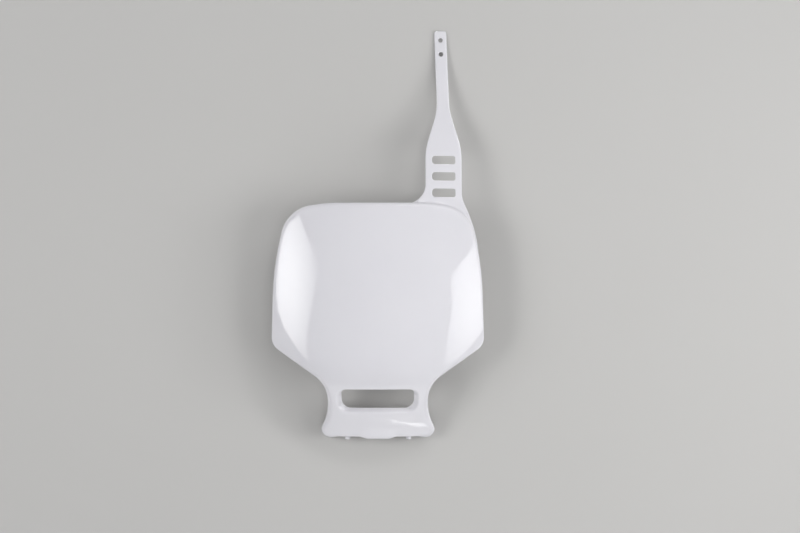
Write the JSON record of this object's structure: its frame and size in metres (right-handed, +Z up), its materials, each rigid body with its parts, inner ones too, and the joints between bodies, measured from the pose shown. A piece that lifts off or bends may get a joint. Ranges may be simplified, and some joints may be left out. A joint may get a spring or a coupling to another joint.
{
  "type": "racing number board",
  "caption": "Front number board for an off-road racing motorbike: a glossy white moulded shell with a slotted neck, a flared lip with pegs and a long slotted strap.",
  "frame": {"origin": "below the middle of the part's bounding box, on the table that the part lies on", "axes": "+X across the board to the strap's side, +Y from the lip towards the tip of the strap, +Z up out of the face"},
  "size_m": [0.2306, 0.4498, 0.066],
  "materials": {
    "white_plastic": "glossy injection moulded polypropylene, plain white"
  },
  "bodies": {
    "root": {"number_board": "white_plastic"}
  },
  "joints": []
}
